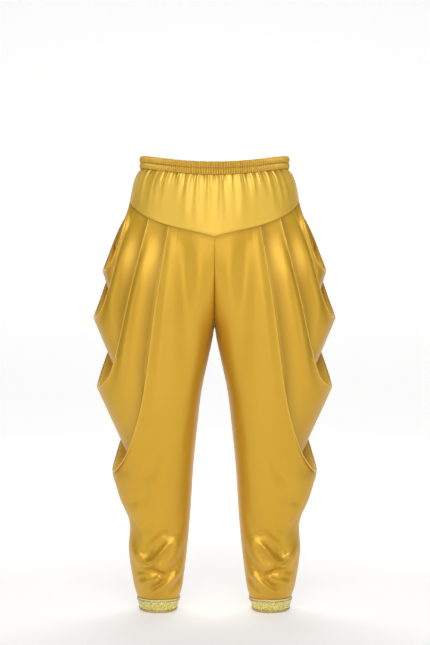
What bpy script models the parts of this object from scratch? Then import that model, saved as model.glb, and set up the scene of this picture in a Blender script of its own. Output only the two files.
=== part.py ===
# Cowl-draped satin trousers, worn by no one: hollow walls, open at the waist and at both hems.
# Metres, +Z up, the front faces -Y. The origin is the middle of the waist ring, where the wearer holds
# them up.

import bpy
import numpy as np

# Walls and seams
CLOTH = 0.0011                  # satin wall
TRIM_WALL = 0.0012              # cuff trim
SEAM_GAP = 0.0003               # between two pieces that are sewn together
HALF_GAP = SEAM_GAP / 2

# Waistband: an oval ring with two rolled elastic channels
WAIST_HALF_WIDTH = 0.1535
WAIST_HALF_DEPTH = 0.1125
BAND_HEIGHT = 0.027
BAND_WALL = 0.0030              # two layers with the elastic between them
CHANNEL_SWELL = 0.0026
RIB_SWELL = 0.0008
RIBS = 44
BAND_SIDE_Z = 0.0005            # mid height of the band at the sides
BAND_FRONT_Z = -0.0215          # it dips at the front
BAND_BACK_Z = 0.0020

# Yoke: gathered under the band, pointed at the centre front and back
HIP_HALF_WIDTH = 0.1780
HIP_HALF_DEPTH = 0.1210
HIP_SQUARENESS = 0.88           # below 1 the oval is fuller at its corners
SEAM_CENTRE_Z = -0.1612         # the point of the slanted seam
SEAM_SIDE_Z = -0.0780
SEAM_SAG = 0.0090
GATHERS = 20                    # on each yoke
GATHER_DEPTH = 0.0032
YOKE_ROWS = 6

# Legs: x of the inner and outer edge, the depth to the front and back, and the x of the fullest point
LEG_COLUMNS = ("z", "inner", "outer", "front", "back", "middle")
LEG_SECTIONS = (
    (-0.0780, 0.0000, 0.1780, 0.1210, 0.1210, 0.0080),
    (-0.1500, 0.0000, 0.2140, 0.1210, 0.1270, 0.0120),
    (-0.2240, 0.0000, 0.2390, 0.1180, 0.1280, 0.0400),
    (-0.3220, 0.0000, 0.2570, 0.1120, 0.1200, 0.0850),
    (-0.3450, 0.0010, 0.2575, 0.1100, 0.1170, 0.0880),
    (-0.4100, 0.0130, 0.2560, 0.1030, 0.1100, 0.0940),
    (-0.4680, 0.0255, 0.2500, 0.0970, 0.1040, 0.1000),
    (-0.5600, 0.0370, 0.2340, 0.0880, 0.0950, 0.1080),
    (-0.6410, 0.0450, 0.2160, 0.0800, 0.0870, 0.1150),
    (-0.7000, 0.0485, 0.2000, 0.0740, 0.0800, 0.1150),
    (-0.7490, 0.0520, 0.1795, 0.0690, 0.0740, 0.1150),
    (-0.8110, 0.0580, 0.1800, 0.0670, 0.0700, 0.1170),
    (-0.8600, 0.0640, 0.1735, 0.0630, 0.0650, 0.1180),
    (-0.8960, 0.0700, 0.1655, 0.0540, 0.0560, 0.1180),
    (-0.9075, 0.0740, 0.1610, 0.0460, 0.0460, 0.1180),
    (-0.9355, 0.0820, 0.1545, 0.0425, 0.0425, 0.1180),
)
CROTCH_Z = -0.3450
CROTCH_CURVE = 3.4              # higher makes the rise flatter and its turn tighter

# Cowl folds, from the lowest to the highest. Each rim hangs from a pleat in the front yoke to its tip
# at the side and up to a pleat in the back yoke. The places are (x, z), a pleat is an x on the yoke
# seam, the mouth is how far the pocket behind the rim opens at the side, and the depth is how far it
# goes down.
FOLD_COLUMNS = ("pleat", "hang", "knee", "bend", "lip", "tip", "rise", "rear", "back_pleat", "mouth", "depth")
FOLDS = (
    (0.0940, (0.1202, -0.2923), (0.1490, -0.4957), (0.1779, -0.5941), (0.2035, -0.6359), (0.2160, -0.6410),
     (0.2080, -0.6040), (0.1560, -0.4300), 0.1050, 0.048, 0.055),
    (0.1354, (0.1732, -0.2711), (0.2024, -0.3955), (0.2183, -0.4439), (0.2320, -0.4600), (0.2480, -0.4680),
     (0.2430, -0.4380), (0.2080, -0.3300), 0.1440, 0.054, 0.050),
    (0.1644, (0.1938, -0.1758), (0.2135, -0.2450), (0.2262, -0.2865), (0.2400, -0.3155), (0.2550, -0.3217),
     (0.2440, -0.2825), (0.2170, -0.2050), 0.1665, 0.052, 0.045),
    (0.1745, (0.1867, -0.1280), (0.1972, -0.1640), (0.2102, -0.2020), (0.2220, -0.2190), (0.2358, -0.2237),
     (0.2253, -0.1900), (0.2020, -0.1330), 0.1755, 0.036, 0.040),
)
PLEAT_DEPTH = 0.014             # how far each knife pleat is folded under at the yoke
FACE_TO_RETURN = (0.0045, 0.0075)       # between a fold's face and its return, at the yoke and at the tip
RETURN_TO_UNDER = (0.0022, 0.0035)      # between the return and the layer under it
STRIP_CROWN = 0.07              # how far the cloth between two rims swells, as a share of its width
PANEL_LEAN = (0.10, 0.24)       # how a pocket leans in from the rounded leg, at the yoke and at the tip
POCKET_LEAN = 0.85              # how much further, to lie flat against the next fold's layers
POCKET_ROOM = 0.35              # the most that a pocket takes of the way to the next rim
SIDE_START = 0.020              # from the highest pleat to the side strip, as a turn of the seam
LEG_TOP_GAP = 0.0006            # under the yoke's curved edge

# Soft folds across the lower leg: start, middle and end as (x, z), with height and half width
LEG_SWAGS = (
    ((0.1740, -0.7300), (0.1500, -0.7640), (0.1190, -0.8240), 0.0045, 0.016),
    ((0.1760, -0.7600), (0.1640, -0.7850), (0.1480, -0.8150), -0.0060, 0.016),
    ((0.1680, -0.8080), (0.1480, -0.8750), (0.0950, -0.7900), 0.0045, 0.011),
    ((0.1450, -0.8780), (0.1150, -0.8560), (0.0900, -0.8350), 0.0040, 0.011),
)

# Hem and trim
CUFF_TOP_Z = -0.9080
CUFF_BOTTOM_Z = -0.9335
HEM_Z = -0.9355

# How finely each form is divided
ROW_CROWDING = 1.3              # above 1 sets the rows closer together near the tips
CROTCH_CROWDING = 1.5           # and near the crotch
TIP_ROW_DROP = 0.030            # the row through the lowest tip falls this far towards the inseam
ROWS_TO_CROTCH = 5
ROWS_TO_TIP = 6
RINGS_TO_CUFF = 12
LEG_COLUMNS_PER_HALF = 9
CURVE_STEPS = 24

SATIN = ((0.78, 0.55, 0.10, 1.0), 0.35, 0.0)
TRIM = ((0.72, 0.66, 0.22, 1.0), 0.45, 0.3)


def ease(low, high, value):
    """0 below low and 1 above high, smooth between them."""
    share = np.clip((np.asarray(value, float) - low) / (high - low), 0.0, 1.0)
    return share * share * (3.0 - 2.0 * share)


def mix(first, second, share):
    return first + (second - first) * share


def unit(vectors):
    return vectors / np.maximum(np.linalg.norm(vectors, axis=-1, keepdims=True), 1e-12)


def leg_size(column, z):
    """One column of LEG_SECTIONS at height z, on a smooth curve through the rows."""
    table = np.array(LEG_SECTIONS)[::-1]
    heights = table[:, 0]
    values = table[:, LEG_COLUMNS.index(column)]
    slopes = np.gradient(values, heights)
    z = np.clip(np.asarray(z, float), heights[0], heights[-1])
    row = np.clip(np.searchsorted(heights, z) - 1, 0, len(heights) - 2)
    step = heights[row + 1] - heights[row]
    s = (z - heights[row]) / step
    return (values[row] * (2 * s**3 - 3 * s**2 + 1) + slopes[row] * step * (s**3 - 2 * s**2 + s)
            + values[row + 1] * (3 * s**2 - 2 * s**3) + slopes[row + 1] * step * (s**3 - s**2))


def smooth_curve(points):
    """A dense curve through the points."""
    points = np.array(points, float)
    ends = np.vstack([2 * points[0] - points[1], points, 2 * points[-1] - points[-2]])
    pieces = []
    for before, start, end, after in zip(ends, ends[1:], ends[2:], ends[3:]):
        reach = np.linalg.norm(end - start)
        leave = (end - before) / (reach + np.linalg.norm(start - before)) * reach
        arrive = (after - start) / (reach + np.linalg.norm(after - end)) * reach
        s = np.linspace(0.0, 1.0, CURVE_STEPS, endpoint=False)[:, None]
        pieces.append(start * (2 * s**3 - 3 * s**2 + 1) + leave * (s**3 - 2 * s**2 + s)
                      + end * (3 * s**2 - 2 * s**3) + arrive * (s**3 - s**2))
    return np.vstack(pieces + [points[-1:]])


def along(curve, shares):
    """Points of a dense curve at the given shares of its length."""
    lengths = np.concatenate([[0.0], np.cumsum(np.linalg.norm(np.diff(curve, axis=0), axis=1))])
    wanted = np.asarray(shares, float) * lengths[-1]
    return np.stack([np.interp(wanted, lengths, curve[:, axis]) for axis in range(3)], axis=-1)


def seam_point(turn, side, inset=0.0):
    """A point of the yoke's lower seam. turn is 0 at the centre and 1 at the side, side -1 in front."""
    angle = np.asarray(turn, float) * np.pi / 2
    flat = np.stack([np.sin(angle) * HIP_HALF_WIDTH,
                     side * np.maximum(np.cos(angle), 0.0) ** HIP_SQUARENESS * HIP_HALF_DEPTH], axis=-1)
    outward = unit(np.stack([flat[..., 0] / HIP_HALF_WIDTH**2, flat[..., 1] / HIP_HALF_DEPTH**2], axis=-1))
    flat = flat - outward * np.asarray(inset, float)[..., None]
    sag = SEAM_SAG * np.sin(angle * 2) ** 2 * (1 - 0.8 * np.asarray(turn, float))
    height = mix(SEAM_CENTRE_Z, SEAM_SIDE_Z, np.asarray(turn, float)) - sag
    return np.concatenate([flat, height[..., None]], axis=-1)


def seam_turn(x):
    return np.arcsin(x / HIP_HALF_WIDTH) / (np.pi / 2)


def leg_depth(x, z, inner_x, inner_y, side):
    """y of the leg's front or back wall at x and z."""
    fullest = side * leg_size("front" if side < 0 else "back", z)
    middle = np.maximum(leg_size("middle", z), inner_x + 0.004)
    out = np.clip((x - middle) / (leg_size("outer", z) - middle), 0.0, 1.0)
    into = np.clip((middle - x) / (middle - inner_x), 0.0, 1.0)
    inwards = inner_y + (fullest - inner_y) * np.sqrt(1 - into**2)
    return np.where(x > middle, fullest * np.sqrt(1 - out**2), inwards)


def leg_outward(points):
    """The directions out of the leg's rounded outer half at points on it."""
    def fullness(x, y, z):
        middle = leg_size("middle", z)
        deep = np.where(y < 0, leg_size("front", z), leg_size("back", z))
        return ((x - middle) / (leg_size("outer", z) - middle)) ** 2 + (y / deep) ** 2
    slopes = [fullness(*(points + step).T) - fullness(*(points - step).T) for step in np.eye(3) * 0.0005]
    return unit(np.stack(slopes, axis=-1))


def inner_edge(z, side):
    """x and y of the centre seam above the crotch and of the inseam below it."""
    if z <= CROTCH_Z:
        return max(float(leg_size("inner", z)), HALF_GAP), 0.0
    fall = (SEAM_CENTRE_Z - z) / (SEAM_CENTRE_Z - CROTCH_Z)
    fullest = side * float(leg_size("front" if side < 0 else "back", z))
    return HALF_GAP, fullest * np.sqrt(max(0.0, 1 - max(fall, 0.0) ** CROTCH_CURVE))


def swag_height(x, z):
    """How far the soft folds lift the lower leg's wall at x and z."""
    lift = np.zeros(np.shape(x))
    place = np.stack([x, z], axis=-1)
    for start, middle, end, height, width in LEG_SWAGS:
        s = np.linspace(0.0, 1.0, CURVE_STEPS)[:, None]
        line = (1 - s) ** 2 * np.array(start) + 2 * s * (1 - s) * np.array(middle) + s**2 * np.array(end)
        apart = np.linalg.norm(place[..., None, :] - line, axis=-1)
        nearest = apart.argmin(axis=-1)
        fade = np.sin(np.pi * np.clip((nearest + 0.5) / CURVE_STEPS, 0.1, 0.9))
        lift += height * fade * np.exp(-((apart.min(axis=-1) / width) ** 2))
    return lift


def half_section(outer, level, side):
    """Evenly spaced points from the inner edge at this level round the front or back to an outer point."""
    inner_x, inner_y = inner_edge(level, side)
    share = 1 - np.cos(np.linspace(0.0, np.pi / 2, 8 * CURVE_STEPS))
    x = mix(inner_x, outer[0], share)
    z = mix(level, outer[2], share)
    y = leg_depth(x, z, inner_x, inner_y, side)
    y = y + (outer[1] - y[-1]) * share**6
    y[0] = inner_y
    points = along(np.stack([x, y, z], axis=-1), np.linspace(0.0, 1.0, LEG_COLUMNS_PER_HALF + 1))
    lift = swag_height(points[:, 0], points[:, 2])
    points[1:-1, 1] += side * lift[1:-1]
    return points


def rim_arms(fold):
    """The dense curves of a rim from its front and from its back pleat down to its tip."""
    row = dict(zip(FOLD_COLUMNS, fold))
    points = [seam_point(seam_turn(row["pleat"]), -1)]
    for names, side in ((("hang", "knee", "bend", "lip"), -1), (("tip",), 0), (("rise", "rear"), 1)):
        for x, z in (row[name] for name in names):
            points.append((x, float(leg_depth(x, z, 0.0, 0.0, side)) if side else 0.0, z))
    points.append(seam_point(seam_turn(row["back_pleat"]), 1))
    dense = smooth_curve(points)
    tip = 5 * CURVE_STEPS
    return dense[:tip + 1], dense[tip:][::-1]


def rows_down(arms):
    """Shares of the front and back arm at each row, and the row's level at the inner edge."""
    fine = np.linspace(0.0, 1.0, 400)
    shift = SEAM_CENTRE_Z - LEG_TOP_GAP - along(arms[0], [0.0])[0, 2]
    levels = [along(arm, fine)[:, 2] + shift * (1 - fine) - TIP_ROW_DROP * fine**2 for arm in arms]
    crotch = [float(np.interp(-CROTCH_Z, -level, fine)) for level in levels]
    upper = crotch[0] * (1 - np.linspace(1.0, 0.0, ROWS_TO_CROTCH, endpoint=False) ** CROTCH_CROWDING)
    upper_inner = np.interp(upper, fine, levels[0])
    upper_back = np.interp(-upper_inner, -levels[1], fine)
    upper_back[0] = 0.0
    fall = 1 - np.linspace(1.0, 0.0, ROWS_TO_TIP + 1) ** ROW_CROWDING
    front = np.concatenate([upper, mix(crotch[0], 1.0, fall)])
    back = np.concatenate([upper_back, mix(crotch[1], 1.0, fall)])
    inner = np.concatenate([upper_inner, mix(CROTCH_Z, levels[0][-1], fall)])
    return front, back, inner


def pocket_layers(rim, below, room, fold_row, tip_share, turns):
    """The points of one fold from the layer that goes under its rim, round the pocket, to the rim's face."""
    tangent = unit(np.gradient(rim, axis=0))
    down = below - rim
    down = unit(down - tangent * (down * tangent).sum(axis=1, keepdims=True))
    outward = np.cross(down, tangent)
    opening = ease(0.50, 1.0, tip_share)[:, None]
    gap = mix(FACE_TO_RETURN[0], FACE_TO_RETURN[1], opening)
    under = gap + mix(RETURN_TO_UNDER[0], RETURN_TO_UNDER[1], opening)
    depth = mix(PLEAT_DEPTH, fold_row["depth"], ease(0.25, 1.0, tip_share)[:, None])
    depth = np.minimum(depth, POCKET_ROOM * room)
    mouth = mix(under * outward, fold_row["mouth"] * np.array([1.0, 0.0, 0.0]), opening)
    layers = [
        rim - mouth,
        rim + depth * down - under * outward,
        rim + depth * down - gap * outward,
        rim + gap * 0.5 * down - gap * outward,
        rim - gap * 0.5 * outward,
        rim + gap * 0.5 * down,
    ]
    # At the yoke the layers follow the sewn edge
    face, turned = FACE_TO_RETURN[0], FACE_TO_RETURN[0] + RETURN_TO_UNDER[0]
    arc = np.hypot(HIP_HALF_WIDTH, HIP_HALF_DEPTH) / np.sqrt(2) * np.pi / 2
    for end, side in ((0, -1), (-1, 1)):
        deep = float(depth[end, 0])
        for layer, reach, inset in zip(layers, (0.0, deep, deep, face / 2, 0.0, face / 2),
                                       (turned, turned, face, face, face / 2, 0.0)):
            lean = turned / float(room[end, 0])
            layer[end] = seam_point(turns[end] - reach / arc, side, inset + lean * reach)
            layer[end, 2] -= LEG_TOP_GAP
    return layers, outward


def leg_surface():
    """The outside of one leg at +X: its points, its faces, and the points along its sewn top and its hem."""
    arms = [rim_arms(fold) for fold in FOLDS]
    front_shares, back_shares, levels = rows_down(arms[0])
    tip_row = len(levels) - 1
    rims = [np.vstack([along(front, front_shares), along(back, back_shares)[-2::-1]]) for front, back in arms]
    tip_share = np.concatenate([front_shares, back_shares[-2::-1]])
    points, faces = [], []

    def add(rows):
        start = len(points)
        points.extend(rows)
        return np.arange(start, start + len(rows))

    def join(first, second):
        for a, b, c, d in zip(first, first[1:], second[1:], second):
            if len({a, b, c, d}) == 4:
                faces.append((a, b, c, d))
            elif len({a, b, c, d}) == 3:
                faces.append(tuple(dict.fromkeys((a, b, c, d))))

    # Folds from the lowest to the highest. A pocket follows the rounded leg, leaning in a little, and at
    # the tip the strip that hangs below the rim.
    layered = FACE_TO_RETURN[0] + RETURN_TO_UNDER[0]
    opening = ease(0.5, 1.0, tip_share)[:, None]
    stacks = []
    for number, (fold, rim) in enumerate(zip(FOLDS, rims)):
        row = dict(zip(FOLD_COLUMNS, fold))
        outward = leg_outward(rim)
        down = np.cross(unit(np.gradient(rim, axis=0)), outward)
        room = np.ones((len(rim), 1))
        if stacks:
            next_rim = np.vstack(arms[number - 1])
            room = np.linalg.norm(rim[:, None] - next_rim, axis=2).min(axis=1)[:, None]
        below = down - (mix(PANEL_LEAN[0], PANEL_LEAN[1], opening) + POCKET_LEAN * layered / room) * outward
        if stacks:
            below = mix(below, unit(stacks[-1][0][0] - rim), opening)
        turns = {0: seam_turn(row["pleat"]), -1: seam_turn(row["back_pleat"])}
        stacks.append(pocket_layers(rim, rim + below, room, row, tip_share, turns) + (room,))

    # The front and back panels, row by row, then whole rings below the lowest tip
    halves = []
    for row, level in enumerate(levels):
        pair = []
        for side, place in ((-1, row), (1, len(rims[0]) - 1 - row)):
            if row == 0:
                pleat = FOLDS[0][FOLD_COLUMNS.index("pleat" if side < 0 else "back_pleat")]
                turns = np.linspace(0.0, seam_turn(pleat), LEG_COLUMNS_PER_HALF + 1)
                section = seam_point(turns, side) - np.array([0.0, 0.0, LEG_TOP_GAP])
                section[0, 0] = HALF_GAP
            else:
                section = half_section(stacks[0][0][-1][place], level, side)
            pair.append(section)
        halves.append(pair)
    rings = []
    ring_levels = list(np.linspace(levels[-1], -0.896, RINGS_TO_CUFF + 1)[1:]) + [CUFF_TOP_Z + 0.0005, HEM_Z]
    for level in ring_levels:
        outer = (float(leg_size("outer", level)), 0.0, level)
        front, back = half_section(outer, level, -1), half_section(outer, level, 1)
        rings.append(np.vstack([front, back[-2:0:-1]]))

    # The top of the highest strip is sewn to the side of the yoke
    highest = dict(zip(FOLD_COLUMNS, FOLDS[-1]))
    front_turn, back_turn = (seam_turn(highest[name]) + SIDE_START for name in ("pleat", "back_pleat"))
    spread = np.concatenate([mix(front_turn, 1.0, tip_share[:tip_row + 1]),
                             mix(1.0, back_turn, 1 - tip_share[tip_row + 1:])])
    turned = layered * (1 - ease(0.0, 0.6, tip_share))
    sewn = np.array([seam_point(turn, -1 if place <= tip_row else 1, inset)
                     for place, (turn, inset) in enumerate(zip(spread, turned))])
    sewn[:, 2] -= LEG_TOP_GAP

    columns = [sewn]
    for number in range(len(FOLDS) - 1, -1, -1):
        layers = stacks[number][0]
        start, outward, crown = columns[-1], 0.0, 0.0
        if number + 1 < len(FOLDS):
            outward = stacks[number + 1][1]
            crown = STRIP_CROWN * stacks[number + 1][2] * (1 - ease(0.6, 1.0, tip_share)[:, None])
        for share in (0.34, 0.70):
            middle = mix(start, layers[0], share) + crown * outward * 4 * share * (1 - share)
            for end, side in ((0, -1), (-1, 1)):
                turn = mix(seam_of(start[end]), seam_of(layers[0][end]), share)
                inset = mix(0.0 if number + 1 < len(FOLDS) else turned[0], layered, share)
                middle[end] = seam_point(turn, side, inset)
                middle[end, 2] -= LEG_TOP_GAP
            columns.append(middle)
        columns.extend(layers)

    grid = [add(column) for column in columns]
    for first, second in zip(grid, grid[1:]):
        join(second, first)

    # Panels, sharing the rim's face points
    face = grid[-1]
    front_rows, back_rows = [], []
    for row, (front, back) in enumerate(halves):
        shared = row >= ROWS_TO_CROTCH
        front_ids = np.concatenate([add(front[:-1]), [face[row]]])
        inner = front_ids[:1] if shared else add(back[:1])
        back_ids = np.concatenate([inner, add(back[1:-1]), [face[len(face) - 1 - row]]])
        front_rows.append(front_ids)
        back_rows.append(back_ids)
    for first, second in zip(front_rows, front_rows[1:]):
        join(second, first)
    for first, second in zip(back_rows, back_rows[1:]):
        join(first, second)
    ring = np.concatenate([front_rows[-1], back_rows[-1][-2:0:-1]])
    for row in rings:
        lower = add(row)
        join(np.append(lower, lower[0]), np.append(ring, ring[0]))
        ring = lower
    top = [ids[0] for ids in grid] + [ids[-1] for ids in grid]
    top += list(grid[0]) + list(front_rows[0]) + list(back_rows[0])
    return np.array(points), faces, sorted(set(int(i) for i in top)), list(ring)


def seam_of(point):
    """The turn of a point on or inside the yoke's seam."""
    across = abs(point[0]) / HIP_HALF_WIDTH
    back = (abs(point[1]) / HIP_HALF_DEPTH) ** (1 / HIP_SQUARENESS)
    return np.arctan2(across, back) / (np.pi / 2)


def corner_normals(points, faces):
    normals = np.zeros_like(points)
    for face in faces:
        corners = points[list(face)]
        area = np.zeros(3)
        for a, b in zip(corners, np.roll(corners, -1, axis=0)):
            area += np.cross(a, b)
        for corner in face:
            normals[corner] += area
    return unit(normals)


def close_wall(outer, inner, faces):
    """A closed wall between an outside and an inside, both split along the same diagonals."""
    count = len(outer)
    halves = []
    for face in faces:
        if len(face) == 4:
            a, b, c, d = face
            if np.linalg.norm(outer[a] - outer[c]) < np.linalg.norm(outer[b] - outer[d]):
                halves += [(a, b, c), (a, c, d)]
            else:
                halves += [(b, c, d), (b, d, a)]
        else:
            halves.append(tuple(face))
    faces = halves
    walls = [tuple(face) for face in faces] + [tuple(i + count for i in reversed(face)) for face in faces]
    edges = {}
    for face in faces:
        for a, b in zip(face, face[1:] + face[:1]):
            edges[(a, b)] = True
    for a, b in edges:
        if (b, a) not in edges:
            walls.append((b, a, a + count, b + count))
    return np.vstack([outer, inner]), walls


def ring_wall(loops):
    """A closed ring from loops of points round it, in the order of its outline."""
    loops = np.array(loops)
    rows, columns = loops.shape[:2]
    index = np.arange(rows * columns).reshape(rows, columns)
    faces = []
    for row in range(rows):
        for column in range(columns):
            a, b = index[row, column], index[row, (column + 1) % columns]
            c, d = index[(row + 1) % rows, (column + 1) % columns], index[(row + 1) % rows, column]
            faces.append((int(a), int(b), int(c), int(d)))
    return loops.reshape(-1, 3), faces


def make_piece(name, points, faces, finish):
    """A mesh object with its own material, its faces turned outwards."""
    volume = 0.0
    for face in faces:
        for second, third in zip(face[1:], face[2:]):
            volume += np.dot(points[face[0]], np.cross(points[second], points[third]))
    if volume < 0:
        faces = [tuple(reversed(face)) for face in faces]
    mesh = bpy.data.meshes.new(name)
    mesh.from_pydata([tuple(map(float, p)) for p in points], [], [tuple(map(int, f)) for f in faces])
    mesh.validate()
    mesh.shade_smooth()
    mesh.set_sharp_from_angle(angle=np.radians(50))
    colour, roughness, metallic = finish
    material = bpy.data.materials.new(name)
    material.use_nodes = True
    shader = material.node_tree.nodes["Principled BSDF"]
    shader.inputs["Base Color"].default_value = colour
    shader.inputs["Roughness"].default_value = roughness
    shader.inputs["Metallic"].default_value = metallic
    mesh.materials.append(material)
    piece = bpy.data.objects.new(name, mesh)
    bpy.context.scene.collection.objects.link(piece)
    return piece


def band_height(angle):
    """Mid height of the waistband; the angle is 0 at the centre front."""
    end = np.where(np.cos(angle) > 0, BAND_FRONT_Z, BAND_BACK_Z)
    return mix(BAND_SIDE_Z, end, np.cos(angle) ** 2)


def waist_point(angle, outward, height):
    """A point of the waist ring, moved out from its oval and up from its mid height."""
    across = np.sin(angle) * (WAIST_HALF_WIDTH + outward)
    depth = -np.cos(angle) * (WAIST_HALF_DEPTH + outward)
    return np.stack([across, depth, band_height(angle) + height], axis=-1)


def make_waistband():
    columns = 2 * RIBS
    angle = np.arange(columns) * 2 * np.pi / columns
    rib = np.where(np.arange(columns) % 2 == 0, RIB_SWELL, -RIB_SWELL)
    half = BAND_HEIGHT / 2
    outline = ((-1.0, 0.0), (-0.82, 0.75), (-0.42, 1.0), (-0.02, 0.1), (0.42, 1.0), (0.84, 0.7), (1.0, 0.0))
    loops = [waist_point(angle, (CHANNEL_SWELL + rib) * swell, half * height) for height, swell in outline]
    for end in (half, -half):
        loops.append(waist_point(angle, np.full(columns, -BAND_WALL), np.full(columns, end)))
    points, faces = ring_wall(loops)
    return make_piece("waistband", points, faces, SATIN)


def make_yoke(name, side):
    """The front (side -1) or back yoke, gathered at its top."""
    columns = 2 * GATHERS
    turn = np.linspace(-1.0, 1.0, columns + 1)
    low = seam_point(np.abs(turn), side)
    low[:, 0] *= np.sign(turn)
    angle = turn * np.pi / 2 if side < 0 else np.pi - turn * np.pi / 2
    high = waist_point(angle, np.zeros(columns + 1), np.full(columns + 1, -BAND_HEIGHT / 2 - SEAM_GAP))
    gather = np.where(np.arange(columns + 1) % 2 == 0, 1.0, -1.0) * (0.55 + 0.45 * np.cos(turn * np.pi / 2))
    gather *= 0.8 + 0.2 * np.cos(7.3 * turn)
    outward = unit(low * np.array([1.0, 1.0, 0.0]))
    rows = []
    for share in np.linspace(0.0, 1.0, YOKE_ROWS) ** 1.5:
        spread = 0.55 * (1 - np.exp(-share / 0.1)) + 0.45 * share
        row = mix(high, low, share)
        row[:, :2] = mix(high[:, :2], low[:, :2], spread)
        pull = np.exp(-share / 0.45) * (1 - ease(0.6, 1.0, share))
        rows.append(row + outward * (gather * GATHER_DEPTH * pull)[:, None])
    points = np.array(rows).reshape(-1, 3)
    ends = np.isclose(np.abs(np.tile(turn, len(rows))), 1.0)
    points[ends, 1] = side * HALF_GAP
    faces = []
    for row in range(YOKE_ROWS - 1):
        for column in range(columns):
            a = row * (columns + 1) + column
            faces.append((a, a + 1, a + columns + 2, a + columns + 1))
    normals = corner_normals(points, faces)
    if (normals * points * np.array([1.0, 1.0, 0.0])).sum() < 0:
        faces = [tuple(reversed(face)) for face in faces]
        normals = -normals
    inner = points - normals * CLOTH
    level = np.r_[0:columns + 1, len(points) - columns - 1:len(points)]
    inner[level, 2] = points[level, 2]
    inner[ends, 1] = side * HALF_GAP
    points, faces = close_wall(points, inner, faces)
    return make_piece(name, points, faces, SATIN)


def make_leg(name, mirror):
    points, faces, top, hem = leg_surface()
    normals = corner_normals(points, faces)
    if (normals[hem] * (points[hem] - points[hem].mean(axis=0))).sum() < 0:
        faces = [tuple(reversed(face)) for face in faces]
        normals = -normals
    inner = points - normals * CLOTH
    inner[top, 2] = points[top, 2]
    inner[hem, 2] = points[hem, 2]
    inner[:, 0] = np.maximum(inner[:, 0], HALF_GAP)
    points, faces = close_wall(points, inner, faces)
    points = points * np.array([mirror, 1.0, 1.0])
    return make_piece(name, points, faces, SATIN)


def make_cuff(name, mirror):
    """The trim on a hem: the hem's own rings, moved out."""
    rings = []
    for level in (CUFF_TOP_Z, mix(CUFF_TOP_Z, CUFF_BOTTOM_Z, 0.5), CUFF_BOTTOM_Z):
        top, low = CUFF_TOP_Z + 0.0005, HEM_Z
        share = (top - level) / (top - low)
        pair = []
        for z in (top, low):
            outer = (float(leg_size("outer", z)), 0.0, z)
            front, back = half_section(outer, z, -1), half_section(outer, z, 1)
            pair.append(np.vstack([front, back[-2:0:-1]]))
        rings.append(mix(pair[0], pair[1], share))
    loops = []
    for distance, order in ((SEAM_GAP * 1.6 + TRIM_WALL, (0, 1, 2)), (SEAM_GAP * 1.6, (2, 1, 0))):
        for number in order:
            ring = rings[number]
            step = np.roll(ring, -1, axis=0) - np.roll(ring, 1, axis=0)
            outward = unit(np.stack([step[:, 1], -step[:, 0], np.zeros(len(ring))], axis=-1))
            if (outward * (ring - ring.mean(axis=0))).sum() < 0:
                outward = -outward
            loops.append(ring + outward * distance)
    points, faces = ring_wall(loops)
    points = points * np.array([mirror, 1.0, 1.0])
    return make_piece(name, points, faces, TRIM)


for old in list(bpy.data.objects):
    bpy.data.objects.remove(old)

make_waistband()
make_yoke("yoke_front", -1)
make_yoke("yoke_back", 1)
for label, sign in (("left", 1.0), ("right", -1.0)):
    make_leg("leg_" + label, sign)
    make_cuff("cuff_" + label, sign)
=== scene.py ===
import bpy
import numpy as np
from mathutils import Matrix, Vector


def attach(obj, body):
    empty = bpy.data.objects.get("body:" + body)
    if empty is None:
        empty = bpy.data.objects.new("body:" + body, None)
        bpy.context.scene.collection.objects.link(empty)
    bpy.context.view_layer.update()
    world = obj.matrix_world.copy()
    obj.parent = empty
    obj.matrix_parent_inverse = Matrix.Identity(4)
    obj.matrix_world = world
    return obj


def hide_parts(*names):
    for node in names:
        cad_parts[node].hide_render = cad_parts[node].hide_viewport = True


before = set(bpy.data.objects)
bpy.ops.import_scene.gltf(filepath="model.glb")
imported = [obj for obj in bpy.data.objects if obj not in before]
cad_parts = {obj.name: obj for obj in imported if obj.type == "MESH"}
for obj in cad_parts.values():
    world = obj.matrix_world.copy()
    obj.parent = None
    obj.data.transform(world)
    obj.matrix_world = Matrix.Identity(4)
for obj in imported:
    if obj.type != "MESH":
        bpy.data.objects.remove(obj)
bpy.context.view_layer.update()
print("packed model:", ", ".join(sorted(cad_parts)))

gap = {"seam": 0.0003, "legTop": 0.0006, "centre": 0.00003, "cuffTop": 0.0005}


def ease(low, high, value):
    share = np.clip((np.asarray(value, float) - low) / (high - low), 0.0, 1.0)
    return share * share * (3.0 - 2.0 * share)


def mix(first, second, share):
    return first + (second - first) * share


def unit(vectors):
    return vectors / np.maximum(np.linalg.norm(vectors, axis=-1, keepdims=True), 1e-12)


def arcLength(points):
    return np.concatenate([[0.0], np.cumsum(np.linalg.norm(np.diff(points, axis=0), axis=1))])


def along(curve, shares):
    lengths = arcLength(curve)
    wanted = np.asarray(shares, float) * lengths[-1]
    return np.stack([np.interp(wanted, lengths, curve[:, axis]) for axis in range(3)], axis=-1)


def smoothCurve(points, steps=24):
    points = np.array(points, float)
    ends = np.vstack([2 * points[0] - points[1], points, 2 * points[-1] - points[-2]])
    pieces = []
    for before, start, end, after in zip(ends, ends[1:], ends[2:], ends[3:]):
        reach = np.linalg.norm(end - start)
        leave = (end - before) / (reach + np.linalg.norm(start - before)) * reach
        arrive = (after - start) / (reach + np.linalg.norm(after - end)) * reach
        s = np.linspace(0.0, 1.0, steps, endpoint=False)[:, None]
        pieces.append(start * (2 * s**3 - 3 * s**2 + 1) + leave * (s**3 - 2 * s**2 + s)
                      + end * (3 * s**2 - 2 * s**3) + arrive * (s**3 - s**2))
    return np.vstack(pieces + [points[-1:]])


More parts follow.
